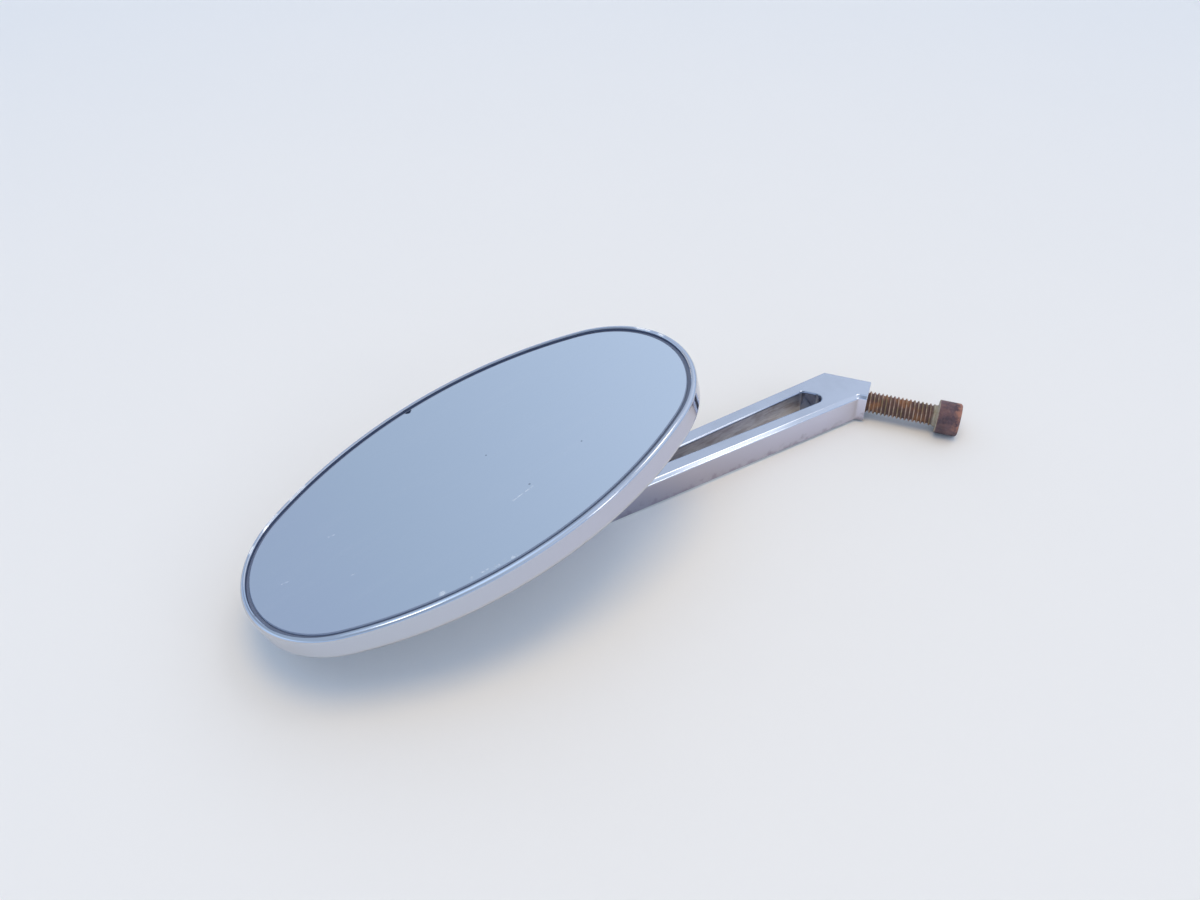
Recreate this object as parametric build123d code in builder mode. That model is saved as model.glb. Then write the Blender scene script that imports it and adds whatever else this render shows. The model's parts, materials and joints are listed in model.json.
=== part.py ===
from build123d import *
import os
from math import atan, cos, degrees, radians, sin, sqrt

# Oval mirror on a slotted billet arm, lying flat on the arm. Millimetres.
# Origin: centre of the arm's seat face, on the axis of the mounting bolt.
# +X runs along the arm towards the head, +Z up, the arm's flat underside down.

# Arm
arm_thickness = 12.0
arm_edge_chamfer = 1.2
arm_axis_offset = 7.75
arm_root_width = 18.2
arm_root_x = 4.0
arm_tip_width = 13.4
arm_reach = 147.8
arm_bend = 49.8
seat_width = 10.4
seat_block_length = 15.0
block_corner_fillet = 1.5

# Slot through the arm
slot_root_width = 8.6
slot_tip_radius = 1.6
slot_tip_reach = 92.6
slot_web = 9.1
slot_corner_radius = 2.4
slot_edge_break = 0.4

# Mounting bolt, 5/16-18 socket head cap screw
bolt_diameter = 7.94
bolt_length = 38.1
bolt_exposed = 24.8
bolt_head_diameter = 11.91
bolt_head_height = 7.94
bolt_head_chamfer = 0.6
bolt_tip_chamfer = 1.0
bolt_key_width = 6.35
bolt_key_depth = 4.0
bolt_thread_clearance = 0.03
bolt_hole_depth = 17.0

# Ball stud and the screw that holds it from under the arm
ball_diameter = 12.7
ball_rise = 11.4
neck_diameter = 6.0
stud_hex_width = 9.5
stud_hex_height = 3.0
spigot_diameter = 7.9
spigot_length = 4.0
spigot_clearance = 0.05
stud_screw_diameter = 4.83
stud_screw_head_diameter = 9.0
stud_screw_engagement = 6.0
stud_screw_key_width = 3.18
stud_screw_key_depth = 1.8
stud_screw_clearance = 0.15
stud_screw_recess = 0.25
stud_screw_seat_clearance = 0.03
stud_thread_depth = 6.8
stud_thread_clearance = 0.03

# Spherical seats round the ball
ball_clearance = 0.05
liner_thickness = 1.2
liner_clearance = 0.05
mouth_angle = 60.0
mouth_chamfer = 0.4
liner_mouth_angle = 68.0
liner_top_drop = 1.2
cup_bottom_rise = 1.2
cup_crown = 1.4

# Attitude of the head on its ball
head_yaw = 2.1
head_tilt = 12.9
head_roll = 8.0

# Mirror glass, a four-arc oval, and what carries it
glass_length = 145.2
glass_width = 83.4
glass_end_radius = 31.7
glass_thickness = 3.0
glass_edge_chamfer = 0.3
face_from_ball = 16.3
pad_thickness = 1.0
pad_inset = 1.5

# Housing
rim_gap = 1.1
rim_land = 1.8
rim_proud = 0.5
rim_outer_fillet = 1.3
rim_inner_chamfer = 0.3
wall_height = 8.5
wall_draft = 0.45
crown_depth = 6.0
crown_wall = 2.2
crown_edge_fillet = 2.5
ledge_width = 5.0
boss_wall = 1.8
boss_flare = 4.0
boss_flare_sink = 0.6
boss_inner_height = 6.2
post_diameter = 5.6
post_circle = 27.0
post_count = 3

# Bead between glass and rim
seal_clearance = 0.05
seal_recess = 0.7

# Spring, plate and screws that load the cup
spring_inner_diameter = 7.0
spring_outer_diameter = 14.0
spring_thickness = 0.5
spring_height = 0.9
spring_clearance = 0.05
plate_diameter = 34.0
plate_thickness = 1.5
plate_hole_diameter = 6.0
plate_screw_diameter = 2.9
plate_screw_length = 5.0
plate_screw_head_diameter = 5.4
plate_screw_head_height = 1.5
plate_screw_clearance = 0.03
plate_hole_clearance = 0.15
plate_key_width = 0.9
plate_key_depth = 0.8

# Derived sizes
arm_top = arm_thickness / 2
arm_axis_y = -arm_axis_offset
bolt_direction = Vector(-cos(radians(arm_bend)), sin(radians(arm_bend)), 0)
ball_radius = ball_diameter / 2
liner_inner_radius = ball_radius + ball_clearance
liner_outer_radius = liner_inner_radius + liner_thickness
socket_radius = liner_outer_radius + liner_clearance
mouth_drop = socket_radius * cos(radians(mouth_angle))
liner_mouth_drop = liner_inner_radius * cos(radians(liner_mouth_angle))
ball_height = arm_top + ball_rise
rim_height = face_from_ball + rim_proud
wall_bottom = face_from_ball - wall_height
crown_bottom = wall_bottom - crown_depth
glass_back = face_from_ball - glass_thickness
ledge_height = glass_back - pad_thickness
cup_top = liner_inner_radius + cup_crown
plate_bottom = cup_top + spring_clearance + spring_height
plate_top = plate_bottom + plate_thickness

# Planes
seat_plane = Plane(origin=(0, 0, 0), x_dir=(0, 0, 1), z_dir=bolt_direction)
ball_centre = Vector(arm_reach, arm_axis_y, ball_height)
stud_plane = Plane(origin=ball_centre)
cross_axis = Vector(0, 1, 0).rotate(Axis.Z, head_yaw)
tilt_line = Axis((0, 0, 0), cross_axis)
long_axis = Vector(1, 0, 0).rotate(Axis.Z, head_yaw).rotate(tilt_line, head_tilt)
liner_normal = Vector(0, 0, 1).rotate(tilt_line, head_tilt)
face_normal = liner_normal.rotate(Axis((0, 0, 0), long_axis), head_roll)
liner_plane = Plane(origin=ball_centre, x_dir=long_axis, z_dir=liner_normal)
head_plane = Plane(origin=ball_centre, x_dir=long_axis, z_dir=face_normal)


def section_of(plane):
    """The plane that holds the axis of `plane`, for profiles drawn as (radius, height)."""
    return Plane(origin=plane.origin, x_dir=plane.x_dir, z_dir=-plane.y_dir)


def axis_of(plane):
    return Axis(plane.origin, plane.z_dir)


def oval(grow):
    """Four tangent arcs round the glass outline, moved outwards by `grow`, as a face."""
    half_length = glass_length / 2 + grow
    half_width = glass_width / 2 + grow
    end_radius = glass_end_radius + grow
    run = half_length - end_radius
    rise = half_width - end_radius
    side_radius = (run**2 + half_width**2 - end_radius**2) / (2 * rise)
    share = end_radius / (side_radius - end_radius)
    x = run * (1 + share)
    y = (side_radius - half_width) * share
    with BuildLine() as outline:
        ThreePointArc((-x, y), (0, half_width), (x, y))
        ThreePointArc((x, y), (half_length, 0), (x, -y))
        ThreePointArc((x, -y), (0, -half_width), (-x, -y))
        ThreePointArc((-x, -y), (-half_length, 0), (-x, y))
    make_face(outline.edges())


def tapered_plan(root_width, root_x, tip_radius, tip_x):
    """A plan that tapers from a straight root edge to a round tip, about the arm's axis."""
    with BuildLine() as ends:
        Line((root_x, arm_axis_y - root_width / 2), (root_x, arm_axis_y + root_width / 2))
        CenterArc((tip_x, arm_axis_y), tip_radius, -120, 240)
    make_hull(ends.edges())


def beyond_bolt_line(distance):
    """A large square on the far side of a line beside the bolt, at `distance` from its axis."""
    far_side = Vector(-sin(radians(arm_bend)), -cos(radians(arm_bend)))
    size = arm_reach
    with Locations(Location(far_side * (distance + size / 2), (0, 0, -arm_bend))):
        Rectangle(size, size, mode=Mode.SUBTRACT)


# Slotted arm with its mounting block; its edges are chamfered all round but for the seat's
with BuildPart() as stem_arm:
    with BuildSketch() as arm_plan:
        tapered_plan(arm_root_width, arm_root_x, arm_tip_width / 2, arm_reach)
        beyond_bolt_line(seat_width / 2)
        with Locations(Location((0, 0, 0), (0, 0, -arm_bend))):
            Rectangle(seat_block_length, seat_width, align=(Align.MIN, Align.CENTER))
        near_corner = Vector(sin(radians(arm_bend)), cos(radians(arm_bend))) * seat_width / 2
        fillet(arm_plan.vertices().sort_by_distance(near_corner)[1], block_corner_fillet)
    extrude(amount=arm_top, both=True)
    plan_edges = stem_arm.faces().filter_by(Axis.Z).edges().sort_by(axis_of(seat_plane))
    chamfer(plan_edges[:-2], arm_edge_chamfer)
    with BuildSketch(Plane.XY) as slot_plan:
        tapered_plan(slot_root_width, arm_root_x, slot_tip_radius, slot_tip_reach)
        beyond_bolt_line(-slot_web)
        fillet(slot_plan.vertices().group_by(Axis.X)[0], slot_corner_radius)
        fillet(slot_plan.vertices().sort_by(Axis.Y)[0], slot_corner_radius)
    extrude(amount=arm_top, both=True, mode=Mode.SUBTRACT)
    slot_rims = [wire for face in stem_arm.faces().filter_by(Axis.Z) for wire in face.inner_wires()]
    chamfer([edge for wire in slot_rims for edge in wire.edges()], slot_edge_break)
    with BuildSketch(seat_plane):
        Circle(bolt_diameter / 2 + bolt_thread_clearance)
    extrude(amount=-bolt_hole_depth, mode=Mode.SUBTRACT)
    with BuildSketch(Plane.XY.offset(arm_top)):
        with Locations((arm_reach, arm_axis_y)):
            Circle(spigot_diameter / 2 + spigot_clearance)
    extrude(amount=-spigot_length - spigot_clearance, mode=Mode.SUBTRACT)
    with Locations(Location((arm_reach, arm_axis_y, -arm_top), (180, 0, 0))):
        CounterSinkHole(
            stud_screw_diameter / 2 + stud_screw_clearance,
            stud_screw_head_diameter / 2 + stud_screw_recess + stud_screw_seat_clearance,
            depth=arm_thickness,
            counter_sink_angle=90,
        )
stem_arm.part.label = "stem_arm"

# Mounting bolt
with BuildPart() as mount_bolt:
    with BuildSketch(seat_plane.offset(bolt_exposed)):
        Circle(bolt_head_diameter / 2)
    extrude(amount=bolt_head_height)
    chamfer(mount_bolt.edges().sort_by(axis_of(seat_plane))[-1], bolt_head_chamfer)
    with BuildSketch(seat_plane.offset(bolt_exposed)):
        Circle(bolt_diameter / 2)
    extrude(amount=-bolt_length)
    chamfer(mount_bolt.edges().sort_by(axis_of(seat_plane))[0], bolt_tip_chamfer)
    with BuildSketch(seat_plane.offset(bolt_exposed + bolt_head_height)):
        RegularPolygon(bolt_key_width / 2, 6, major_radius=False, rotation=30)
    extrude(amount=-bolt_key_depth, mode=Mode.SUBTRACT)
mount_bolt.part.label = "mount_bolt"

# Ball stud, standing on the arm's tip
with BuildPart() as ball_stud:
    with BuildSketch(stud_plane.offset(-ball_rise)):
        Circle(spigot_diameter / 2)
    extrude(amount=-spigot_length)
    with BuildSketch(stud_plane.offset(-ball_rise)):
        RegularPolygon(stud_hex_width / 2, 6, major_radius=False)
    extrude(amount=stud_hex_height)
    with BuildSketch(stud_plane.offset(-ball_rise)):
        Circle(neck_diameter / 2)
    extrude(amount=ball_rise)
    with Locations(stud_plane):
        Sphere(ball_radius)
    with BuildSketch(stud_plane.offset(-ball_rise - spigot_length)):
        Circle(stud_screw_diameter / 2 + stud_thread_clearance)
    extrude(amount=stud_thread_depth, mode=Mode.SUBTRACT)
ball_stud.part.label = "ball_stud"

# Flat-head screw under the arm's tip
with BuildPart() as stud_screw:
    head_bottom = -arm_top + stud_screw_recess
    cone_height = (stud_screw_head_diameter - stud_screw_diameter) / 2
    shank_top = arm_top - spigot_length + stud_screw_engagement
    with BuildSketch(Plane.XZ.offset(-arm_axis_y)):
        with BuildLine():
            Polyline(
                (arm_reach, head_bottom),
                (arm_reach + stud_screw_head_diameter / 2, head_bottom),
                (arm_reach + stud_screw_diameter / 2, head_bottom + cone_height),
                (arm_reach + stud_screw_diameter / 2, shank_top),
                (arm_reach, shank_top),
                close=True,
            )
        make_face()
    revolve(axis=Axis((arm_reach, arm_axis_y, 0), (0, 0, 1)))
    with BuildSketch(Plane.XY.offset(head_bottom)):
        with Locations((arm_reach, arm_axis_y)):
            RegularPolygon(stud_screw_key_width / 2, 6, major_radius=False)
    extrude(amount=stud_screw_key_depth, mode=Mode.SUBTRACT)
stud_screw.part.label = "stud_screw"

# Moulded ring under the ball
with BuildPart() as socket_liner:
    with Locations(liner_plane):
        Sphere(liner_outer_radius)
        Sphere(liner_inner_radius, mode=Mode.SUBTRACT)
    split(bisect_by=liner_plane.offset(-liner_top_drop), keep=Keep.BOTTOM)
    split(bisect_by=liner_plane.offset(-liner_mouth_drop), keep=Keep.TOP)
socket_liner.part.label = "socket_liner"

# Moulded cup over the ball, guided in the housing's boss
with BuildPart() as pressure_cup:
    with BuildSketch(head_plane.offset(cup_bottom_rise)):
        Circle(liner_outer_radius)
    extrude(amount=cup_top - cup_bottom_rise)
    with Locations(head_plane):
        Sphere(liner_inner_radius, mode=Mode.SUBTRACT)
pressure_cup.part.label = "pressure_cup"

# Conical disc spring between cup and plate
with BuildPart() as disc_spring:
    low = cup_top + spring_clearance
    with BuildSketch(section_of(head_plane)):
        with BuildLine():
            Polyline(
                (spring_outer_diameter / 2, low),
                (spring_outer_diameter / 2, low + spring_thickness),
                (spring_inner_diameter / 2, low + spring_height),
                (spring_inner_diameter / 2, low + spring_height - spring_thickness),
                close=True,
            )
        make_face()
    revolve(axis=axis_of(head_plane))
disc_spring.part.label = "disc_spring"

# Plate that holds the spring down
with BuildPart() as retainer_plate:
    with BuildSketch(head_plane.offset(plate_bottom)):
        Circle(plate_diameter / 2)
        Circle(plate_hole_diameter / 2, mode=Mode.SUBTRACT)
        with PolarLocations(post_circle / 2, post_count):
            Circle(plate_screw_diameter / 2 + plate_hole_clearance, mode=Mode.SUBTRACT)
    extrude(amount=plate_thickness)
retainer_plate.part.label = "retainer_plate"

# Pan-head screws through the plate into the housing's posts
with BuildPart() as retainer_screws:
    with BuildSketch(head_plane.offset(plate_top)):
        with PolarLocations(post_circle / 2, post_count):
            Circle(plate_screw_head_diameter / 2)
    extrude(amount=plate_screw_head_height)
    with BuildSketch(head_plane.offset(plate_top)):
        with PolarLocations(post_circle / 2, post_count):
            Circle(plate_screw_diameter / 2)
    extrude(amount=-plate_screw_length)
    with BuildSketch(head_plane.offset(plate_top + plate_screw_head_height)):
        with PolarLocations(post_circle / 2, post_count):
            Rectangle(plate_screw_head_diameter, plate_key_width)
    extrude(amount=-plate_key_depth, mode=Mode.SUBTRACT)
retainer_screws.part.label = "retainer_screws"


def crown(height, reach):
    """What lies above the crowned back: curved along the head and across it, lowest at `height`."""
    rim_half_length = glass_length / 2 + rim_gap + rim_land
    rim_half_width = glass_width / 2 + rim_gap + rim_land
    long_radius = (rim_half_length**2 + crown_depth**2) / (2 * crown_depth)
    cross_radius = (rim_half_width**2 + crown_depth**2) / (2 * crown_depth)
    across = rim_half_width + reach
    swing = degrees(2 * atan((rim_half_length + reach) / long_radius))
    rise = cross_radius - sqrt(cross_radius**2 - across**2)
    hinge = Axis(head_plane.origin + head_plane.z_dir * (height + long_radius), head_plane.y_dir)
    middle = Plane(origin=head_plane.origin, x_dir=head_plane.y_dir, z_dir=head_plane.x_dir)
    turn = Axis((0, 0, 0), hinge.direction)
    to_first = (middle.origin - hinge.position).rotate(turn, -swing / 2)
    first = Plane(
        origin=hinge.position + to_first,
        x_dir=middle.x_dir,
        z_dir=middle.z_dir.rotate(turn, -swing / 2),
    )
    top = rim_height + reach
    with BuildSketch(first) as section:
        with BuildLine():
            ThreePointArc((-across, height + rise), (0, height), (across, height + rise))
            Polyline((across, height + rise), (across, top), (-across, top), (-across, height + rise))
        make_face()
    revolve(section.sketch, axis=hinge, revolution_arc=swing, mode=Mode.INTERSECT)


# Room inside the housing, under the ledge that carries the pad
crown_margin = 6.0
with BuildPart() as cavity:
    with BuildSketch(head_plane.offset(ledge_height)):
        oval(rim_gap - ledge_width)
    extrude(amount=-ledge_height - crown_margin)
    crown(crown_bottom + crown_wall, crown_margin)

# Dished housing with rim, socket boss and screw posts
with BuildPart() as mirror_housing:
    with BuildSketch(head_plane.offset(rim_height)):
        oval(rim_gap + rim_land)
    with BuildSketch(head_plane.offset(crown_bottom - crown_margin)):
        oval(rim_gap + rim_land - wall_draft * (rim_height - crown_bottom + crown_margin) / wall_height)
    loft()
    crown(crown_bottom, crown_margin)
    back_edges = mirror_housing.faces().sort_by(axis_of(head_plane))[0].edges()
    fillet(back_edges, crown_edge_fillet)
    rim_edges = mirror_housing.faces().sort_by(axis_of(head_plane))[-1].edges()
    fillet(rim_edges, rim_outer_fillet)
    with BuildSketch(head_plane.offset(rim_height)):
        oval(rim_gap)
    extrude(amount=ledge_height - rim_height, mode=Mode.SUBTRACT)
    mouth_edges = mirror_housing.faces().sort_by(axis_of(head_plane))[-1].edges()
    chamfer(mouth_edges.sort_by(SortBy.LENGTH)[:4], rim_inner_chamfer)
    boss_radius = socket_radius + boss_wall
    flare_top = crown_bottom + boss_flare_sink
    with BuildSketch(section_of(head_plane)):
        with BuildLine():
            Polyline(
                (boss_radius + boss_flare, flare_top),
                (0, flare_top),
                (0, -mouth_drop),
                (boss_radius - mouth_chamfer, -mouth_drop),
                (boss_radius, mouth_chamfer - mouth_drop),
                (boss_radius, flare_top - boss_flare),
            )
            CenterArc((boss_radius + boss_flare, flare_top - boss_flare), boss_flare, 90, 90)
        make_face()
    revolve(axis=axis_of(head_plane))
    add(cavity.part, mode=Mode.SUBTRACT)
    with BuildSketch(head_plane.offset(crown_bottom + crown_wall / 2)):
        Circle(boss_radius)
    extrude(amount=boss_inner_height - crown_bottom - crown_wall / 2)
    with BuildSketch(head_plane.offset(plate_bottom)):
        with PolarLocations(post_circle / 2, post_count):
            Circle(post_diameter / 2)
    extrude(amount=crown_bottom + crown_wall * 0.6 - plate_bottom)
    with BuildSketch(head_plane.offset(plate_bottom)):
        with PolarLocations(post_circle / 2, post_count):
            Circle(plate_screw_diameter / 2 + plate_screw_clearance)
    extrude(amount=plate_thickness - plate_screw_length - plate_screw_clearance, mode=Mode.SUBTRACT)
    with BuildSketch(section_of(head_plane)):
        with BuildLine():
            CenterArc((0, 0), socket_radius, -90, 90)
            Polyline(
                (socket_radius, 0),
                (socket_radius, plate_bottom),
                (0, plate_bottom),
                (0, -socket_radius),
            )
        make_face()
    revolve(axis=axis_of(head_plane), mode=Mode.SUBTRACT)
mirror_housing.part.label = "mirror_housing"

# Foam pad on the ledge
with BuildPart() as glass_pad:
    with BuildSketch(head_plane.offset(ledge_height)):
        oval(-pad_inset)
    extrude(amount=pad_thickness)
glass_pad.part.label = "glass_pad"

# Flat mirror glass
with BuildPart() as mirror_glass:
    with BuildSketch(head_plane.offset(glass_back)):
        oval(0)
    extrude(amount=glass_thickness)
    chamfer(mirror_glass.faces().sort_by(axis_of(head_plane))[-1].edges(), glass_edge_chamfer)
mirror_glass.part.label = "mirror_glass"

# Bead in the gap between glass and rim
with BuildPart() as edge_seal:
    with BuildSketch(head_plane.offset(ledge_height)):
        oval(rim_gap - seal_clearance)
    extrude(amount=face_from_ball - seal_recess - ledge_height)
    with BuildSketch(head_plane.offset(ledge_height)):
        oval(seal_clearance)
    extrude(amount=face_from_ball - ledge_height, mode=Mode.SUBTRACT)
edge_seal.part.label = "edge_seal"

pieces = [
    stem_arm,
    mount_bolt,
    ball_stud,
    stud_screw,
    socket_liner,
    pressure_cup,
    disc_spring,
    retainer_plate,
    retainer_screws,
    mirror_housing,
    glass_pad,
    mirror_glass,
    edge_seal,
]
os.makedirs("parts", exist_ok=True)
for piece in pieces:
    export_step(piece.part, f"parts/{piece.part.label}.step")
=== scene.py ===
"""Looks of the oval motorcycle mirror: plated arm and head, silvered glass, rusty mounting bolt.

Metres, in the CAD frame: origin at the arm's seat face on the bolt's axis, +X to the head, +Z up.
"""

import json
import math

import bmesh
import bpy
from mathutils import Matrix, Vector


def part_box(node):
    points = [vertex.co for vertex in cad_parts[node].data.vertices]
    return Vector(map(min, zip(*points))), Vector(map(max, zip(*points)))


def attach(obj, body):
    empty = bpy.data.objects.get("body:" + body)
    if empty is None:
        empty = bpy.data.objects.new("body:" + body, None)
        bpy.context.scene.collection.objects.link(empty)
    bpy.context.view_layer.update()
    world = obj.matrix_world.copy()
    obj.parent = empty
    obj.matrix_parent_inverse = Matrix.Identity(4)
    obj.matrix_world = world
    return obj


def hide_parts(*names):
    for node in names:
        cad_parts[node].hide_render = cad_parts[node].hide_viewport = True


MM = 0.001

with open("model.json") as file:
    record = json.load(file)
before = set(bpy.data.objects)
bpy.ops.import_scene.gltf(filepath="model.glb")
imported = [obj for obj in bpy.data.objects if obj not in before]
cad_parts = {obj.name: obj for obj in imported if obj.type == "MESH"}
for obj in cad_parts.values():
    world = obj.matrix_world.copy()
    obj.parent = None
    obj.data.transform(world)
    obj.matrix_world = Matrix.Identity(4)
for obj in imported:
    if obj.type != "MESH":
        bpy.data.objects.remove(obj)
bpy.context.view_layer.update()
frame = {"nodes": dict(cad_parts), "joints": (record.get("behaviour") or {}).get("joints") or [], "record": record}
nodes = frame["nodes"]
joints = {joint["name"]: joint for joint in frame["joints"]}
mounts = {mount["name"]: mount for mount in frame["record"]["mounts"]}

# The head's own axes, from its joints: long_axis points away from the block, cross_axis to the near side
face_from_ball = 16.3 * MM
ball_centre = Vector(joints["head_spin"]["pos_m"])
face_normal = Vector(joints["head_spin"]["axis"])
long_axis = Vector(joints["head_roll"]["axis"])
cross_axis = face_normal.cross(long_axis)
face_centre = ball_centre + face_normal * face_from_ball

# The arm's heights and axis, and the room in which a wall belongs to its slot
arm_thickness = 12 * MM
arm_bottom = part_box("stem_arm")[0].z
arm_top = arm_bottom + arm_thickness
arm_axis_y = ball_centre.y
slot_room_half_width = 5.0 * MM
slot_room_start = 18 * MM
slot_room_end = 100 * MM

# Sizes of the mounting bolt, as in the CAD bolt
bolt_direction = Vector(mounts["seat_face"]["axis"])
exposed_length = mounts["bolt_shank"]["dims"]["length_mm"] * MM
under_head_length = 38.1 * MM
bolt_head_radius = 11.91 / 2 * MM
bolt_head_height = 7.94 * MM
bolt_head_chamfer = 0.6 * MM
bolt_tip_chamfer = 1.0 * MM
key_half_width = 6.35 / 2 * MM
key_depth = 4.0 * MM
thread_radius = 3.97 * MM

# Left plain in the CAD bolt: the key socket's mouth, and the thread with 18 turns to the inch
key_countersink = 0.2 * MM
thread_pitch = 25.4 / 18 * MM
thread_depth = 0.5413 * thread_pitch
thread_flank = 0.3125 * thread_pitch
thread_crest = thread_pitch / 8
runout_length = 2.6 * MM

# Painted glints on the rim, and marks on the glass, each place in millimetres along the head's face and across it
rim_glint_width = 3.2 * MM
rim_glints = (
    ((59.2, -27.3), (55.2, -30.2)),
    ((48.4, -32.8), (43.8, -35.3)),
    ((66.2, -21.0), (65.2, -22.3)),
    ((-70.7, -15.0), (-72.0, -10.9)),
    ((-73.2, -6.0), (-73.4, -5.2)),
)
scratch_width = 0.7 * MM
scratches = (
    ((-2.6, 21.5), (-9.7, 20.9)),
    ((63.2, -1.5), (59.8, -0.7)),
    ((45.6, 11.3), (44.1, 11.8)),
    ((45.4, -8.4), (43.7, -7.9)),
)
edge_dust_width = 1.6 * MM
edge_dust_line = ((20, 38.4), (4, 40.9))
smudge_place = (28.6, 37.2)
chip_place = (3.4, -41.6)
large_speck_place = (-9.4, 19.4)
small_speck_places = ((-29.7, 15.9), (-5.8, -1.8))

# Tones of the plating: the first of a pair is at the block's end or the darker one
plating_tone = (0.56, 0.565, 0.60)
worn_tone = (0.52, 0.525, 0.555)
milled_tones = ((0.66, 0.67, 0.74), (0.84, 0.85, 0.91))
stain_tone = (0.40, 0.35, 0.385)
# Painted shade and dark reflection in the slot: its end wall, the top of its walls and its edges short of the head
slot_shade_tone = (0.25, 0.28, 0.37)
# Painted reflection tint on the arm's near side, bluer at the block's end
near_side_reflection_tones = ((0.66, 0.67, 0.81), (0.45, 0.435, 0.515))
# Painted shade towards the arm's foot
foot_shade_tone = (0.36, 0.34, 0.42)
# Dirt with painted shade in ragged patches at the arm's foot
dirt_and_shade_blotch_tone = (0.26, 0.235, 0.30)
# Painted highlight lines along the chamfers' edges
painted_glint_tone = (0.97, 0.97, 0.96)
pit_tone = (0.35, 0.33, 0.33)
# Painted brighter reflection on the rim's near corner
rim_reflection_tone = (0.78, 0.80, 0.83)
# Painted reflection tint on the head's near outer wall
near_wall_reflection_tones = ((0.555, 0.56, 0.66), (0.55, 0.595, 0.69))
# Darker tone on the rim's inner wall above the glass
dark_inner_wall_tone = (0.32, 0.37, 0.48)
# Painted glints on the rim
rim_glint_tone = (0.90, 0.92, 0.94)

# Tones of the glass
mirror_tones = ((0.805, 0.845, 0.875), (0.825, 0.855, 0.885))
violet_tone = (0.80, 0.80, 0.885)
film_tone = (0.86, 0.88, 0.90)
glass_edge_tone = (0.23, 0.29, 0.41)
speck_tone = (0.10, 0.11, 0.15)
chip_tone = (0.03, 0.04, 0.07)

# Tones of the other materials
sealant_tone = (0.15, 0.185, 0.28)
foam_tone = (0.03, 0.03, 0.032)
dust_lift = 0.06
nylon_tones = ((0.80, 0.78, 0.70), (0.88, 0.87, 0.81))
zinc_tones = ((0.44, 0.44, 0.43), (0.62, 0.62, 0.61))
floor_tones = ((0.84, 0.827, 0.80), (0.86, 0.842, 0.81))

# Tones of the rust
root_tones = ((0.095, 0.060, 0.062), (0.175, 0.095, 0.065))
flank_tones = ((0.23, 0.165, 0.085), (0.31, 0.19, 0.165))
flank_orange_tone = (0.36, 0.17, 0.075)
thread_orange_tone = (0.37, 0.17, 0.065)
# Worn rust on the thread's crests, with a painted highlight
crest_wear_and_highlight_tone = (0.45, 0.36, 0.29)
bolt_head_tones = ((0.075, 0.046, 0.056), (0.135, 0.078, 0.085))
# Copper rust on the bolt's head, stronger on its upper side as painted light
copper_rust_and_top_light_tone = (0.38, 0.17, 0.115)
# Painted shade on the bolt head's lower side
underside_shade_tone = (0.045, 0.032, 0.05)
rust_pit_tone = (0.055, 0.035, 0.04)
collar_tone = (0.40, 0.39, 0.31)

# Tones of the light
dim_sky_tone = (0.36, 0.457, 0.618)
bright_sky_tone = (0.87, 1.02, 1.28)
low_sky_tone = (0.60, 0.79, 1.10)
overhead_tone = (0.71, 0.90, 1.20)
panel_tone = (1.0, 0.95, 0.88)
key_tone = (1.0, 0.62, 0.08)


def on_face(long, cross):
    """The place on the glass at these millimetres along the head and across it."""
    return face_centre + (long_axis * long + cross_axis * cross) * MM


# Shader helpers


def add_node(tree, kind, inputs=None, **settings):
    """A shader node with its settings, and its inputs linked to sockets or set to values."""
    made = tree.nodes.new("ShaderNode" + kind)
    for name, value in settings.items():
        setattr(made, name, value)
    for key, value in (inputs or {}).items():
        if isinstance(value, bpy.types.NodeSocket):
            tree.links.new(value, made.inputs[key])
        else:
            made.inputs[key].default_value = value
    return made


def object_place(tree):
    return add_node(tree, "TexCoord").outputs["Object"]


def object_normal(tree):
    return add_node(tree, "TexCoord").outputs["Normal"]


def noise(tree, place, scale, detail=3.0, roughness=0.55):
    inputs = {"Vector": place, "Scale": scale, "Detail": detail, "Roughness": roughness}
    return add_node(tree, "TexNoise", inputs).outputs["Fac"]


def streaks(tree, place, scales, detail, turn=(0.0, 0.0, 0.0)):
    """Noise that is turned, then squeezed by its three scales, for brush marks and stains."""
    inputs = {"Vector": place, "Rotation": turn, "Scale": scales}
    squeezed = add_node(tree, "Mapping", inputs).outputs["Vector"]
    return noise(tree, squeezed, 1.0, detail)


def math_node(tree, operation, first, second=0.0):
    return add_node(tree, "Math", {0: first, 1: second}, operation=operation).outputs[0]


def absolute(tree, value):
    return math_node(tree, "ABSOLUTE", value)


def minus(tree, first, second):
    return math_node(tree, "SUBTRACT", first, second)


def gathered(tree, operation, values):
    """Several values joined by one operation."""
    result = values[0]
    for value in values[1:]:
        result = math_node(tree, operation, result, value)
    return result


def plus(tree, *values):
    return gathered(tree, "ADD", values)


def times(tree, *values):
    return gathered(tree, "MULTIPLY", values)


def largest(tree, *values):
    return gathered(tree, "MAXIMUM", values)


def spread(tree, value, low, high, to_low=0.0, to_high=1.0):
    """Maps low..high smoothly to to_low..to_high."""
    inputs = {"Value": value, "From Min": low, "From Max": high, "To Min": to_low, "To Max": to_high}
    return add_node(tree, "MapRange", inputs, interpolation_type="SMOOTHSTEP").outputs["Result"]


def blend_colours(tree, share, first, second):
    made = add_node(tree, "Mix", data_type="RGBA")
    for key, value in (("Factor", share), (6, first), (7, second)):
        socket = made.inputs[key]
        if isinstance(value, bpy.types.NodeSocket):
            tree.links.new(value, socket)
        elif socket.type == "RGBA":
            socket.default_value = (*value, 1.0)
        else:
            socket.default_value = value
    return made.outputs[2]


def layered(tree, colour, *layers):
    """A colour with others laid over it in turn, each by its own share."""
    for share, tone in layers:
        colour = blend_colours(tree, share, colour, tone)
    return colour


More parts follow.
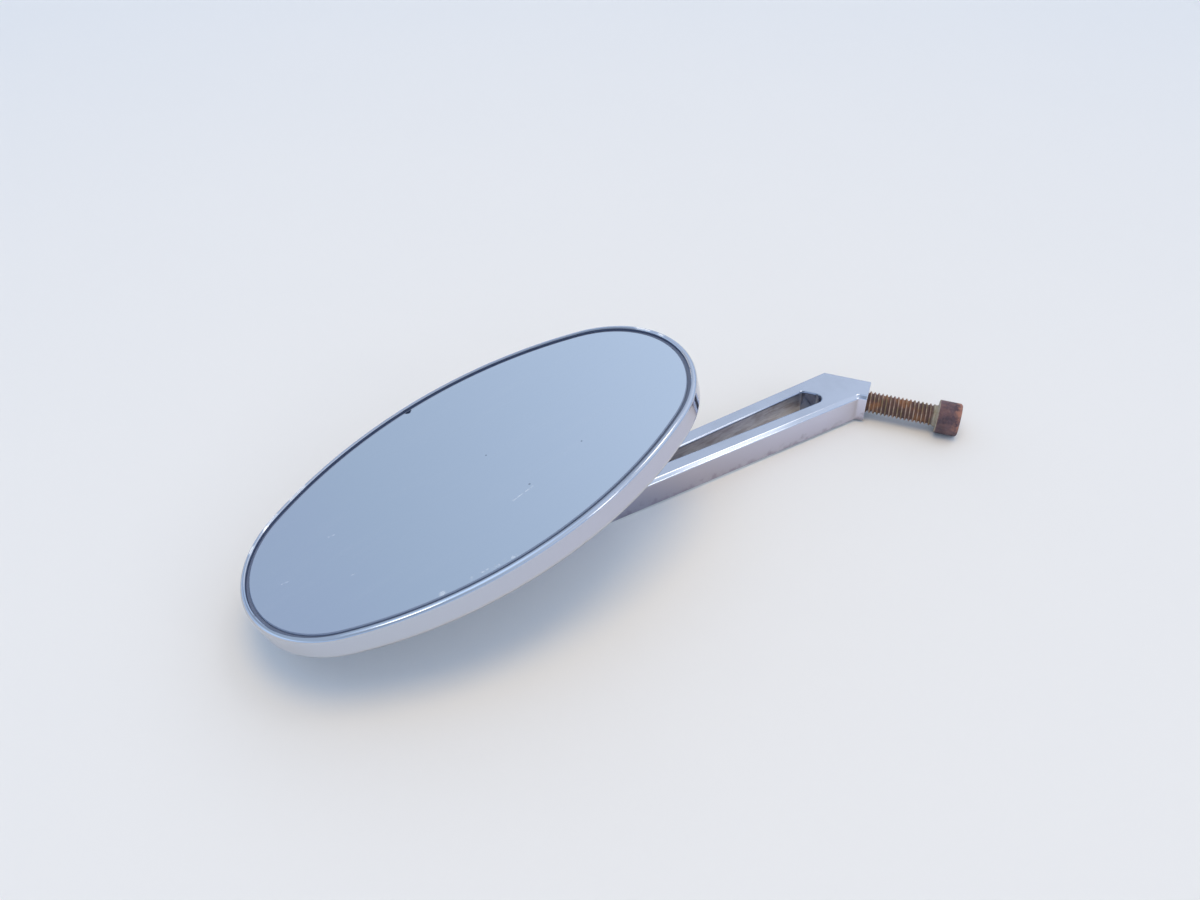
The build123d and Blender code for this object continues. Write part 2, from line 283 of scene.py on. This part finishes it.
def vector_math(tree, operation, output, first, second=None):
    """The named output of an operation on one or two vectors, each a socket or a fixed value."""
    inputs = {0: first}
    if second is not None:
        inputs[1] = tuple(second) if isinstance(second, Vector) else second
    return add_node(tree, "VectorMath", inputs, operation=operation).outputs[output]


def along(tree, place, direction):
    """Distance of a place along a direction, or how far one direction follows another."""
    return vector_math(tree, "DOT_PRODUCT", "Value", place, direction)


def offset_from(tree, place, point):
    return vector_math(tree, "SUBTRACT", "Vector", place, point)


def distance(tree, place, point):
    return vector_math(tree, "DISTANCE", "Value", place, point)


def line_mark(tree, place, start, end, width):
    """1 on a straight scratch between two points, fading out at half its width."""
    run = end - start
    from_start = offset_from(tree, place, start)
    share = along(tree, from_start, run / run.length_squared)
    share = add_node(tree, "Clamp", {"Value": share}).outputs["Result"]
    inputs = {0: tuple(run), "Scale": share}
    nearest = add_node(tree, "VectorMath", inputs, operation="SCALE").outputs["Vector"]
    return spread(tree, distance(tree, from_start, nearest), width / 2, width / 8)


def face_marks(tree, place, lines, width):
    """1 on any of several straight marks on the head's face."""
    marks = [line_mark(tree, place, on_face(*start), on_face(*end), width) for start, end in lines]
    return largest(tree, *marks)


def face_dot(tree, place, centre, outer, inner):
    """1 on a round dot on the head's face, full within one radius and gone at the other."""
    return spread(tree, distance(tree, place, on_face(*centre)), outer, inner)


def bump(tree, height, depth, strength=1.0):
    inputs = {"Height": height, "Distance": depth, "Strength": strength}
    return add_node(tree, "Bump", inputs).outputs["Normal"]


def new_material(name, **fixed):
    """A material with one Principled shader: fixed sockets by name, the rest linked by the caller."""
    material = bpy.data.materials.new(name)
    material.use_nodes = True
    tree = material.node_tree
    shader = tree.nodes["Principled BSDF"]
    for key, value in fixed.items():
        socket = shader.inputs[key.replace("_", " ")]
        socket.default_value = (*value, 1.0) if socket.type == "RGBA" else value
    return material, tree, shader


def link(tree, shader, **sockets):
    for key, value in sockets.items():
        tree.links.new(value, shader.inputs[key.replace("_", " ")])


def dress(node_name, material):
    """Gives a CAD node one material."""
    mesh = nodes[node_name].data
    mesh.materials.clear()
    mesh.materials.append(material)


# Materials


def arm_zones(tree, place):
    """Shares of the arm's surface by name: 1 in a zone and 0 away from it."""
    parts = add_node(tree, "SeparateXYZ", {"Vector": place})
    facing = add_node(tree, "SeparateXYZ", {"Vector": object_normal(tree)})
    reach = parts.outputs["X"]
    height = parts.outputs["Z"]
    from_axis = minus(tree, parts.outputs["Y"], arm_axis_y)
    sideways = absolute(tree, facing.outputs["Y"])
    upright = absolute(tree, facing.outputs["Z"])
    steep = spread(tree, upright, 0.5, 0.3)

    in_slot = times(
        tree,
        spread(tree, absolute(tree, from_axis), slot_room_half_width + 0.6 * MM, slot_room_half_width),
        spread(tree, reach, slot_room_end + 10 * MM, slot_room_end),
        spread(tree, reach, slot_room_start - 6 * MM, slot_room_start),
    )
    slot_wall = times(tree, in_slot, spread(tree, sideways, 0.85, 0.97))
    # The slot's end, the top of its walls and its edges short of the head get a painted shade and dark reflection
    slot_end = times(tree, in_slot, spread(tree, sideways, 0.97, 0.85), steep)
    near_top = spread(tree, height, arm_top - 1.4 * MM, arm_top - 0.4 * MM, 0.0, 0.7)
    slot_mouth = times(tree, slot_wall, near_top)
    sloping = times(tree, spread(tree, upright, 0.12, 0.30), spread(tree, upright, 0.98, 0.90))
    slot_lip = times(tree, in_slot, sloping, spread(tree, reach, 85 * MM, 65 * MM, 0.0, 0.4))

    outside = times(tree, steep, minus(tree, 1.0, in_slot))
    blotch_height = times(tree, minus(tree, noise(tree, place, 300, 5), 0.5), 15 * MM)
    ragged_height = plus(tree, height, blotch_height)
    chamfer = times(tree, spread(tree, upright, 0.45, 0.6), spread(tree, upright, 0.95, 0.8))
    upper_strip = spread(tree, height, arm_top - 0.40 * MM, arm_top - 0.25 * MM)
    lower_strip = spread(tree, height, arm_top - 0.85 * MM, arm_top - 1.00 * MM)
    strips = times(tree, chamfer, largest(tree, upper_strip, lower_strip))
    return {
        "slot_wall": slot_wall,
        # painted shade and dark reflection in the slot
        "slot_shade": largest(tree, slot_end, slot_mouth, slot_lip),
        "headwards": spread(tree, reach, -10 * MM, 100 * MM),
        # painted reflection tint on the arm's near side
        "near_side_reflection": times(tree, outside, spread(tree, from_axis, 0.0, 2 * MM, 0.0, 0.9)),
        # painted shade towards the arm's foot
        "foot_shade": times(tree, outside, spread(tree, height, arm_top - 1 * MM, arm_bottom, 0.0, 0.3)),
        # dirt with painted shade in ragged patches at the arm's foot
        "dirt_and_shade_blotches": times(
            tree,
            outside,
            spread(tree, ragged_height, arm_bottom + 3.8 * MM, arm_bottom - 0.2 * MM, 0.0, 0.6),
        ),
        "chamfer": chamfer,
        # painted highlight lines along the chamfers' edges
        "glint_strips": times(tree, strips, spread(tree, reach, 30 * MM, 55 * MM)),
    }


def plated_arm():
    """Polished plating, matt and stained in the slot, with painted highlight lines on its chamfers, a painted
    reflection tint on its near side, painted shade in the slot and painted shade with dirt at its foot.
    """
    material, tree, shader = new_material("plated_arm")
    place = object_place(tree)
    zones = arm_zones(tree, place)
    bloom = spread(tree, noise(tree, place, 55, 5), 0.45, 0.75)
    milled = streaks(tree, place, (260, 260, 1400), 5)
    stained = streaks(tree, place, (110, 110, 330), 5)
    wiped = streaks(tree, place, (30, 900, 900), 4)
    scored = streaks(tree, place, (12, 1500, 1500), 3)
    # Painted highlight lines on the chamfers, broken by the wiping noise, paler, rougher and less metallic
    glint_lines = times(tree, zones["glint_strips"], spread(tree, wiped, 0.35, 0.6, 0.3, 1.0))

    slot_tone = blend_colours(tree, spread(tree, milled, 0.3, 0.7), *milled_tones)
    slot_tone = blend_colours(tree, spread(tree, stained, 0.48, 0.66, 0.0, 0.55), slot_tone, stain_tone)
    # Over the plating: the slot's milled tone, painted shade in the slot, a painted reflection tint on the near
    # side, painted shade and dirt at the foot, and painted highlight lines on the chamfers
    colour = layered(
        tree,
        blend_colours(tree, bloom, plating_tone, worn_tone),
        (zones["slot_wall"], slot_tone),
        (zones["slot_shade"], slot_shade_tone),
        (zones["near_side_reflection"], blend_colours(tree, zones["headwards"], *near_side_reflection_tones)),
        (zones["foot_shade"], foot_shade_tone),
        (zones["dirt_and_shade_blotches"], dirt_and_shade_blotch_tone),
        (glint_lines, painted_glint_tone),
    )

    polish = plus(tree, spread(tree, wiped, 0.35, 0.75, 0.05, 0.12), times(tree, bloom, 0.05))
    matt = times(tree, zones["slot_wall"], spread(tree, milled, 0.3, 0.7, 0.22, 0.34))
    rough = largest(tree, plus(tree, polish, matt), times(tree, glint_lines, 0.3))
    shine = spread(tree, glint_lines, 0.3, 1.0, 1.0, 0.3)
    wave = plus(tree, noise(tree, place, 160, 2), times(tree, scored, zones["chamfer"], 0.5))
    link(tree, shader, Base_Color=colour, Metallic=shine, Roughness=rough)
    link(tree, shader, Normal=bump(tree, wave, 0.004 * MM, 0.5))
    return material


def head_zones(tree, place):
    """Shares of the head's surface by name: 1 in a zone and 0 away from it."""
    away = offset_from(tree, place, face_centre)
    lengthwise = along(tree, away, long_axis)
    crosswise = along(tree, away, cross_axis)
    above_face = along(tree, away, face_normal)
    normal = object_normal(tree)
    upward = along(tree, normal, face_normal)
    outwards = along(tree, normal, vector_math(tree, "NORMALIZE", "Vector", away))

    on_top = spread(tree, upward, 0.6, 0.85)
    outer_wall = times(
        tree,
        spread(tree, absolute(tree, upward), 0.35, 0.15),
        spread(tree, outwards, 0.2, 0.4),
    )
    near_corner = times(
        tree,
        spread(tree, crosswise, 0.0, 20 * MM),
        spread(tree, lengthwise, -20 * MM, 20 * MM),
    )
    inner_wall = spread(tree, outwards, -0.25, -0.5)
    return {
        "on_top": on_top,
        # painted brighter reflection on the rim's near corner
        "rim_reflection": times(tree, on_top, near_corner),
        "far_end": spread(tree, lengthwise, -50 * MM, 55 * MM),
        # painted reflection tint on the near outer wall
        "near_wall_reflection": times(tree, outer_wall, spread(tree, crosswise, -5 * MM, 15 * MM)),
        # darker tone on the rim's inner wall above the glass
        "dark_inner_wall": times(tree, inner_wall, spread(tree, above_face, 0.1 * MM, -0.2 * MM)),
    }


def plated_head():
    """Polished plating with a faint wave and bloom, painted glints on the rim, a painted brighter reflection on
    the rim's near corner, a painted reflection tint on the near wall, and a darker inner wall.
    """
    material, tree, shader = new_material("plated_head")
    place = object_place(tree)
    zones = head_zones(tree, place)
    bloom = spread(tree, noise(tree, place, 60, 5), 0.42, 0.72)
    wiped = noise(tree, place, 260, 4)
    pits = spread(tree, noise(tree, place, 1700, 1), 0.70, 0.78, 0.0, 0.6)
    patchy = spread(tree, noise(tree, place, 800, 2), 0.35, 0.55, 0.5, 1.0)
    # Painted glints on the rim, pale and not metallic
    glint_and_wear = times(tree, face_marks(tree, place, rim_glints, rim_glint_width), zones["on_top"], patchy)

    colour = layered(
        tree,
        blend_colours(tree, bloom, plating_tone, worn_tone),
        (pits, pit_tone),
        (zones["rim_reflection"], rim_reflection_tone),
        (zones["near_wall_reflection"], blend_colours(tree, zones["far_end"], *near_wall_reflection_tones)),
        (zones["dark_inner_wall"], dark_inner_wall_tone),
        (glint_and_wear, rim_glint_tone),
    )
    polish = plus(tree, spread(tree, wiped, 0.35, 0.75, 0.06, 0.12), times(tree, bloom, 0.06))
    rough = largest(tree, polish, times(tree, zones["dark_inner_wall"], 0.4))
    shine = spread(tree, glint_and_wear, 0.2, 0.7, 1.0, 0.0)
    wave = plus(tree, noise(tree, place, 120, 2), times(tree, noise(tree, place, 700, 2), 0.15))
    link(tree, shader, Base_Color=colour, Metallic=shine, Roughness=rough)
    link(tree, shader, Normal=bump(tree, wave, 0.006 * MM, 0.5))
    return material


def silvered_glass():
    """A flat mirror with dark edges, a chip in its far edge, light scratches, smudges and specks."""
    material, tree, shader = new_material("silvered_glass")
    place = object_place(tree)
    front = spread(tree, along(tree, object_normal(tree), face_normal), 0.97, 0.99)
    lengthwise = along(tree, offset_from(tree, place, face_centre), long_axis)

    tint = blend_colours(tree, noise(tree, place, 30, 3), *mirror_tones)
    violet = times(tree, spread(tree, lengthwise, 25 * MM, 68 * MM), noise(tree, place, 24, 3))
    tint = blend_colours(tree, violet, tint, violet_tone)

    broken = spread(tree, noise(tree, place, 900, 2), 0.35, 0.6)
    scratch = times(tree, face_marks(tree, place, scratches, scratch_width), broken)
    scattered = spread(tree, noise(tree, place, 700, 2), 0.50, 0.62)
    edge_dust = times(tree, face_marks(tree, place, [edge_dust_line], edge_dust_width), scattered)
    smudge = face_dot(tree, place, smudge_place, 1.3 * MM, 0.5 * MM)
    pale = largest(tree, scratch, smudge, edge_dust)
    wiped = streaks(tree, place, (40, 420, 40), 4, turn=(0.0, 0.0, 0.35))
    haze = times(tree, spread(tree, wiped, 0.45, 0.85), 0.025)
    film = plus(tree, times(tree, pale, 0.30), haze)

    ragged = times(tree, noise(tree, place, 900, 2), 1.6 * MM)
    chip_distance = plus(tree, distance(tree, place, on_face(*chip_place)), ragged)
    chip = spread(tree, chip_distance, 2.3 * MM, 1.9 * MM)
    specks = [face_dot(tree, place, large_speck_place, 0.45 * MM, 0.25 * MM)]
    for centre in small_speck_places:
        specks.append(face_dot(tree, place, centre, 0.35 * MM, 0.2 * MM))

    colour = blend_colours(tree, film, tint, film_tone)
    colour = blend_colours(tree, front, glass_edge_tone, colour)
    speck = times(tree, largest(tree, *specks), 0.5)
    colour = layered(tree, colour, (speck, speck_tone), (chip, chip_tone))
    shine = times(tree, front, minus(tree, 1.0, film))
    rough = spread(tree, film, 0.0, 0.3, 0.02, 0.30)
    link(tree, shader, Base_Color=colour, Metallic=shine, Roughness=rough)
    return material


def rubber(name, tone, scale, gloss):
    """Dark compound with a fine grain and paler dust."""
    material, tree, shader = new_material(name, Roughness=gloss)
    place = object_place(tree)
    dust = spread(tree, noise(tree, place, scale, 5), 0.5, 0.8, 0.0, 0.35)
    colour = blend_colours(tree, dust, tone, tuple(c + dust_lift for c in tone))
    grain = noise(tree, place, scale * 4, 3)
    link(tree, shader, Base_Color=colour, Normal=bump(tree, grain, 0.05 * MM, 0.4))
    return material


def moulded_nylon():
    """Off-white plastic with a fine moulded grain."""
    material, tree, shader = new_material("moulded_nylon", Roughness=0.42, Subsurface_Weight=0.08)
    place = object_place(tree)
    colour = blend_colours(tree, noise(tree, place, 120, 4), *nylon_tones)
    grain = noise(tree, place, 900, 2)
    link(tree, shader, Base_Color=colour, Normal=bump(tree, grain, 0.02 * MM, 0.4))
    return material


def zinc_steel():
    """Plain zinc-plated steel with turning marks and a dull patchy bloom."""
    material, tree, shader = new_material("zinc_steel", Metallic=1.0)
    place = object_place(tree)
    patch = noise(tree, place, 220, 5)
    colour = blend_colours(tree, patch, *zinc_tones)
    rough = spread(tree, patch, 0.3, 0.7, 0.24, 0.42)
    turned = streaks(tree, place, (150, 150, 4000), 2)
    link(tree, shader, Base_Color=colour, Roughness=rough, Normal=bump(tree, turned, 0.01 * MM, 0.5))
    return material


def rusted_steel():
    """Olive brown rust on the thread with worn crests that carry a painted highlight, purple brown on the head
    with copper rust made stronger on its upper side as painted light and a painted shade on its lower side, pale
    plating between.

    In the bolt's own axes: Z along it from the seat, X up as the bolt lies.
    """
    material, tree, shader = new_material("rusted_steel", Metallic=0.0)
    place = object_place(tree)
    parts = add_node(tree, "SeparateXYZ", {"Vector": place})
    rise = parts.outputs["X"]
    height = parts.outputs["Z"]
    flat = add_node(tree, "CombineXYZ", {"X": rise, "Y": parts.outputs["Y"]}).outputs["Vector"]
    radius = vector_math(tree, "LENGTH", "Value", flat)
    broad = noise(tree, place, 230, 4)
    medium = noise(tree, place, 480, 5)
    fine = noise(tree, place, 1500, 6, 0.65)

    flank = blend_colours(tree, spread(tree, broad, 0.42, 0.55), *flank_tones)
    flank = blend_colours(tree, spread(tree, medium, 0.52, 0.64, 0.0, 0.8), flank, flank_orange_tone)
    half_way = thread_radius - 0.60 * thread_depth
    crest_share = spread(tree, radius, half_way, thread_radius - 0.05 * thread_depth)
    # Crests paler: worn rust with a painted highlight
    glint_and_wear = times(tree, spread(tree, crest_share, 0.8, 1.0), spread(tree, medium, 0.46, 0.58, 0.0, 0.8))
    thread = layered(
        tree,
        blend_colours(tree, broad, *root_tones),
        (crest_share, flank),
        (spread(tree, noise(tree, place, 190, 3), 0.47, 0.62, 0.0, 0.6), thread_orange_tone),
        (glint_and_wear, crest_wear_and_highlight_tone),
    )

    # Copper rust patches, stronger on the head's upper side as painted light
    copper_and_top_light = times(
        tree,
        spread(tree, medium, 0.40, 0.66),
        spread(
            tree,
            height,
            exposed_length + 0.45 * bolt_head_height,
            exposed_length + bolt_head_height,
            0.2,
            1.0,
        ),
        spread(tree, rise, -4 * MM, 3 * MM, 0.25, 1.0),
    )
    head = layered(
        tree,
        blend_colours(tree, spread(tree, broad, 0.38, 0.62), *bolt_head_tones),
        (copper_and_top_light, copper_rust_and_top_light_tone),
        # painted shade on the head's lower side
        (spread(tree, rise, -2 * MM, -5.5 * MM, 0.0, 0.7), underside_shade_tone),
    )

    ragged = plus(tree, height, times(tree, minus(tree, broad, 0.5), 4 * MM))
    collar = times(
        tree,
        spread(tree, ragged, exposed_length - 2.4 * MM, exposed_length - 1.2 * MM),
        spread(tree, height, exposed_length + 0.35 * MM, exposed_length + 0.1 * MM),
        spread(tree, fine, 0.30, 0.60, 0.2, 0.8),
    )
    colour = layered(
        tree,
        thread,
        (spread(tree, height, exposed_length, exposed_length + 0.5 * MM), head),
        (spread(tree, fine, 0.58, 0.76, 0.0, 0.55), rust_pit_tone),
        (collar, collar_tone),
    )
    rough = spread(tree, fine, 0.3, 0.7, 0.55, 0.90)
    pits = plus(tree, fine, times(tree, noise(tree, place, 600, 3), 0.8))
    link(tree, shader, Base_Color=colour, Roughness=rough, Normal=bump(tree, pits, 0.10 * MM, 0.7))
    return material


steel = zinc_steel()
nylon = moulded_nylon()
for name, material in (
    ("stem_arm", plated_arm()),
    ("mirror_housing", plated_head()),
    ("mirror_glass", silvered_glass()),
    ("edge_seal", rubber("sealant", sealant_tone, 400, 0.35)),
    ("glass_pad", rubber("foam", foam_tone, 900, 0.8)),
    ("ball_stud", steel),
    ("stud_screw", steel),
    ("disc_spring", steel),
    ("retainer_plate", steel),
    ("retainer_screws", steel),
    ("socket_liner", nylon),
    ("pressure_cup", nylon),
):
    dress(name, material)


def soften_edges(node_name, width):
    """A narrow round on a CAD node's sharp edges, so they catch the light."""
    weld = nodes[node_name].modifiers.new("weld", "WELD")
    weld.merge_threshold = 0.001 * MM
    modifier = nodes[node_name].modifiers.new("edge_round", "BEVEL")
    modifier.width = width
    modifier.segments = 3
    modifier.use_clamp_overlap = False
    modifier.limit_method = "ANGLE"
    modifier.angle_limit = math.radians(28)
    modifier.harden_normals = True


soften_edges("stem_arm", 0.4 * MM)


# Mounting bolt with its thread


def circle(radius, height, steps):
    angles = [2 * math.pi * k / steps for k in range(steps)]
    return [(radius * math.cos(angle), radius * math.sin(angle), height) for angle in angles]


def hexagon(half_width, height, steps):
    """Points round the key socket's wall."""
    points = []
    for k in range(steps):
        angle = 2 * math.pi * k / steps
        within = (angle + math.pi / 6) % (math.pi / 3) - math.pi / 6
        radius = half_width / math.cos(within)
        points.append((radius * math.cos(angle), radius * math.sin(angle), height))
    return points


def thread_mesh(mesh):
    """A V thread swept along its helix from the tip, running out under the head, closed at both ends."""
    steps = 64
    tip = exposed_length - under_head_length
    tip_radius = thread_radius - bolt_tip_chamfer
    end_radius = 0.985 * thread_radius
    root_radius = thread_radius - thread_depth
    profile = (
        (0.0, thread_radius),
        (thread_crest, thread_radius),
        (thread_crest + thread_flank, root_radius),
        (thread_pitch - thread_flank, root_radius),
    )
    turns = math.ceil(under_head_length / thread_pitch) + 2
    rows = []
    for i in range(turns * steps + 1):
        angle = 2 * math.pi * i / steps
        row = []
        for offset, radius in profile:
            height = tip + thread_pitch * (i / steps - 1) + offset
            height = min(max(height, tip), exposed_length)
            fade = min(max((height - exposed_length + runout_length) / runout_length, 0), 1)
            radius += (end_radius - radius) * fade
            radius = min(radius, tip_radius + height - tip)
            row.append(mesh.verts.new((radius * math.cos(angle), radius * math.sin(angle), height)))
        rows.append(row)
    for i in range(len(rows) - 1):
        for j in range(len(profile) - 1):
            mesh.faces.new((rows[i][j], rows[i + 1][j], rows[i + 1][j + 1], rows[i][j + 1]))
        if i + 1 + steps < len(rows):
            mesh.faces.new((rows[i][-1], rows[i + 1][-1], rows[i + 1 + steps][0], rows[i + steps][0]))
    for radius, height in ((tip_radius, tip), (end_radius, exposed_length)):
        mesh.faces.new([mesh.verts.new(point) for point in circle(radius, height, steps)])
    bmesh.ops.remove_doubles(mesh, verts=mesh.verts, dist=0.0001 * MM)


def bolt_head_mesh(mesh):
    """A round head lathed from its underside to the key socket's floor."""
    steps = 96
    base = exposed_length
    top = base + bolt_head_height
    soft = 0.15 * MM
    outline = (
        (0.9 * thread_radius, base),
        (bolt_head_radius - soft, base),
        (bolt_head_radius, base + soft),
        (bolt_head_radius, top - bolt_head_chamfer - soft),
        (bolt_head_radius - 0.3 * soft, top - bolt_head_chamfer + 0.2 * soft),
        (bolt_head_radius - bolt_head_chamfer + 0.3 * soft, top - 0.2 * soft),
        (bolt_head_radius - bolt_head_chamfer - soft, top),
    )
    rings = [circle(radius, height, steps) for radius, height in outline]
    rings.append(hexagon(1.05 * key_half_width, top, steps))
    rings.append(hexagon(key_half_width, top - key_countersink, steps))
    rings.append(hexagon(key_half_width, top - key_depth, steps))
    made = [[mesh.verts.new(point) for point in ring] for ring in rings]
    for low, high in zip(made, made[1:]):
        for k in range(steps):
            after = (k + 1) % steps
            mesh.faces.new((low[k], low[after], high[after], high[k]))
    mesh.faces.new(made[0])
    mesh.faces.new(made[-1])


def frame_matrix(origin, x_axis, z_axis):
    """Local axes as columns, for a piece that is built about its own axis."""
    y_axis = z_axis.cross(x_axis)
    matrix = Matrix((x_axis, y_axis, z_axis)).transposed().to_4x4()
    matrix.translation = origin
    return matrix


def make_bolt():
    """The threaded bolt on its own axis, in place of the plain CAD bolt."""
    mesh = bmesh.new()
    thread_mesh(mesh)
    bolt_head_mesh(mesh)
    bmesh.ops.recalc_face_normals(mesh, faces=mesh.faces)
    data = bpy.data.meshes.new("threaded_bolt")
    mesh.to_mesh(data)
    mesh.free()
    data.materials.append(rusted_steel())
    data.shade_smooth()
    data.set_sharp_from_angle(angle=math.radians(32))
    bolt = bpy.data.objects.new("threaded_bolt", data)
    bpy.context.scene.collection.objects.link(bolt)
    bolt.matrix_world = frame_matrix(Vector((0, 0, 0)), Vector((0, 0, 1)), bolt_direction)
    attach(bolt, "arm")
    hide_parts("mount_bolt")


make_bolt()


# Floor, light and camera


def make_floor(reach):
    """A plain pale floor under the arm."""
    floor_mesh = bpy.data.meshes.new("floor")
    corners = [(-reach, -reach, 0), (reach, -reach, 0), (reach, reach, 0), (-reach, reach, 0)]
    floor_mesh.from_pydata(corners, [], [(0, 1, 2, 3)])
    floor = bpy.data.objects.new("floor", floor_mesh)
    floor.location.z = arm_bottom
    bpy.context.scene.collection.objects.link(floor)
    material, tree, shader = new_material("pale_floor", Roughness=0.9, Specular_IOR_Level=0.2)
    patch = noise(tree, object_place(tree), 9, 4)
    link(tree, shader, Base_Color=blend_colours(tree, patch, *floor_tones))
    floor_mesh.materials.append(material)


def sky_panel(tree, looking, direction, inner, outer, strength):
    """A soft round patch of the sky: full within one angle in degrees and gone at the other."""
    facing = along(tree, looking, Vector(direction).normalized())
    edge = spread(tree, facing, math.cos(math.radians(outer)), math.cos(math.radians(inner)))
    return times(tree, edge, strength)


def light_sky():
    """A pale blue sky, brighter over the block's side, with small white panels in it."""
    world = bpy.data.worlds.new("studio")
    bpy.context.scene.world = world
    world.use_nodes = True
    tree = world.node_tree
    tree.nodes.clear()
    looking = add_node(tree, "TexCoord").outputs["Generated"]
    blockwards = along(tree, looking, Vector((-0.968, 0.25, 0.0)))
    elevation = add_node(tree, "SeparateXYZ", {"Vector": looking}).outputs["Z"]
    sky = blend_colours(tree, spread(tree, blockwards, -0.54, 0.79), dim_sky_tone, bright_sky_tone)
    overhead = sky_panel(tree, looking, (0.2, -0.1, 0.95), 14, 28, 1.0)
    low_down = spread(tree, elevation, 0.46, 0.34)
    sky = layered(tree, sky, (low_down, low_sky_tone), (overhead, overhead_tone))
    glow = plus(
        tree,
        sky_panel(tree, looking, (-0.457, 0.681, 0.572), 0.8, 3.6, 0.9),
        sky_panel(tree, looking, (-0.44, 0.07, 0.895), 3, 8, 4.0),
        sky_panel(tree, looking, (0.50, 0.10, 0.87), 4, 8, 2.5),
        sky_panel(tree, looking, (-0.43, 0.80, 0.42), 3, 6, 4.0),
    )
    panels = add_node(tree, "Background", {"Color": (*panel_tone, 1.0), "Strength": glow}).outputs[0]
    plain = add_node(tree, "Background", {"Color": sky, "Strength": 1.0}).outputs[0]
    shown = add_node(tree, "AddShader", {0: plain, 1: panels}).outputs[0]
    add_node(tree, "OutputWorld", {"Surface": shown})


def add_key_light(aim, direction, away):
    """One warm soft lamp overhead."""
    key_data = bpy.data.lights.new("key", "AREA")
    key_data.shape = "DISK"
    key_data.size = 0.53
    key_data.energy = 3.5
    key_data.color = key_tone
    key = bpy.data.objects.new("key", key_data)
    key.location = aim + away * direction
    key.rotation_euler = (key.location - aim).to_track_quat("Z", "Y").to_euler()
    key.visible_glossy = False
    bpy.context.scene.collection.objects.link(key)


def add_camera(place, direction, lens):
    """The camera at the photograph's place."""
    camera_data = bpy.data.cameras.new("camera")
    camera_data.sensor_width = 36.0
    camera_data.lens = lens
    camera_data.clip_start = 0.01
    camera = bpy.data.objects.new("camera", camera_data)
    camera.location = place
    camera.rotation_euler = direction.to_track_quat("-Z", "Y").to_euler()
    bpy.context.scene.collection.objects.link(camera)
    bpy.context.scene.camera = camera


make_floor(reach=4.0)
light_sky()
add_key_light(aim=Vector((0.10, 0.0, 0.0)), direction=Vector((0.03, 0.12, 0.992)), away=1.15)
add_camera(place=(0.2412, 0.21165, 0.2584), direction=Vector((-0.3801, -0.6289, -0.6782)), lens=33.07)
bpy.context.scene.view_settings.view_transform = "Standard"
